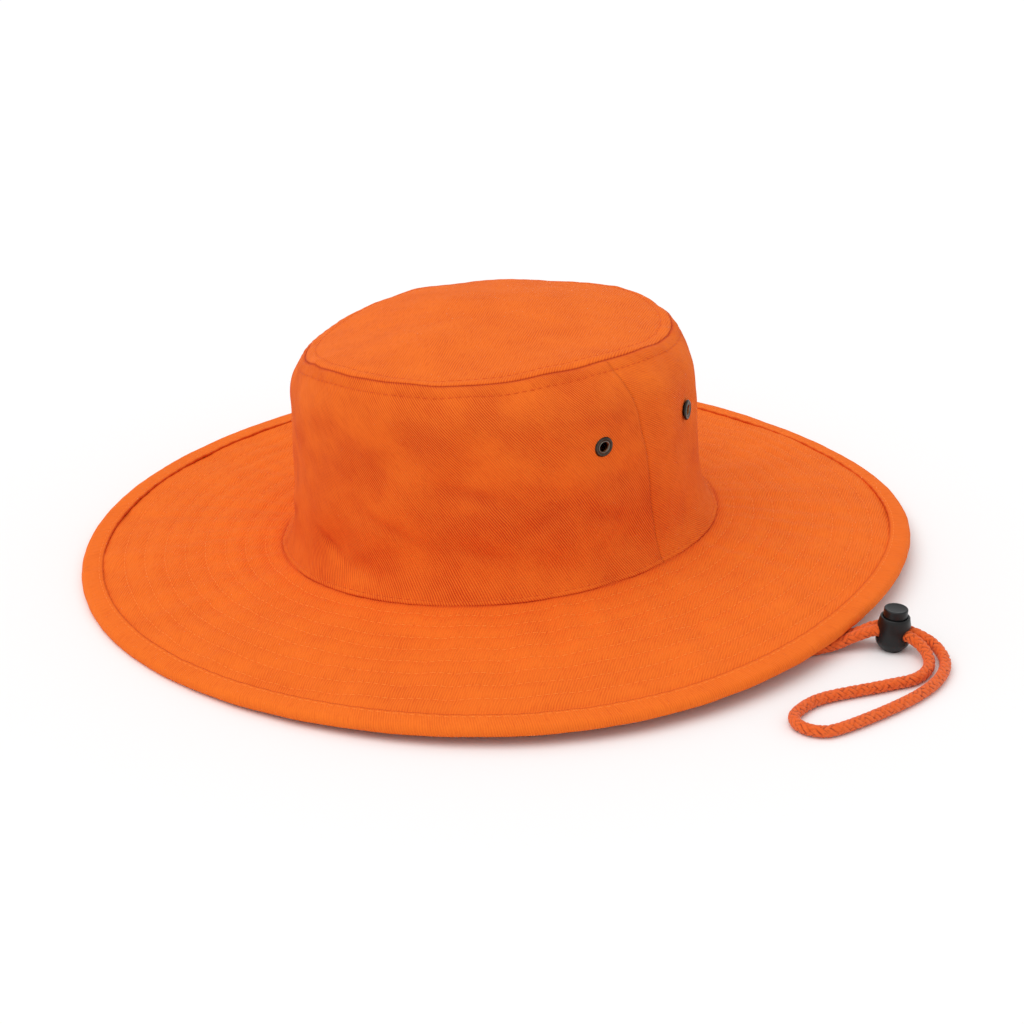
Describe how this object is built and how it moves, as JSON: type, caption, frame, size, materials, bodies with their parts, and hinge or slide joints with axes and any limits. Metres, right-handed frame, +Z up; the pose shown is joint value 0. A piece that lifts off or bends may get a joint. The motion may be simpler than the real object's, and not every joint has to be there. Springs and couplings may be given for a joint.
{
  "type": "wide-brim cloth hat",
  "caption": "Soft cloth hat with an oval crown, a wide stitched brim with a bound edge, metal eyelets and a corded chin strap with a push-button cord lock.",
  "frame": {"origin": "on the surface that the hat lies on, under the middle of the hat's own outline, the chin strap left out", "axes": "+Z up, the front of the hat towards -Y, the wearer's left towards +X"},
  "size_m": [0.3897, 0.3642, 0.1106],
  "materials": {
    "tip_cloth": "matte cotton twill",
    "side_cloth": "matte cotton twill",
    "brim_cloth": "matte stitched cotton twill",
    "binding_cloth": "matte cotton twill",
    "eyelet_metal": "dark antique plating",
    "cord_braid": "round braid",
    "toggle_plastic": "moulded, satin"
  },
  "bodies": {
    "root": {"crown_tip": "tip_cloth", "crown_side_front": "side_cloth", "crown_side_back": "side_cloth", "brim_top": "brim_cloth", "brim_under": "brim_cloth", "brim_binding": "binding_cloth", "eyelet_left_front": "eyelet_metal", "eyelet_left_back": "eyelet_metal", "eyelet_right_back": "eyelet_metal", "eyelet_right_front": "eyelet_metal", "chin_cord": "cord_braid", "toggle_body": "toggle_plastic"},
    "plunger": {"toggle_plunger": "toggle_plastic"}
  },
  "joints": [
    {"name": "toggle_press", "type": "slide", "parent": "root", "child": "plunger", "axis": [-0.0566, -0.0229, -0.9981], "range_m": [0, 0.002], "stiffness_N_per_m": 500, "springref_m": -0.001}
  ]
}
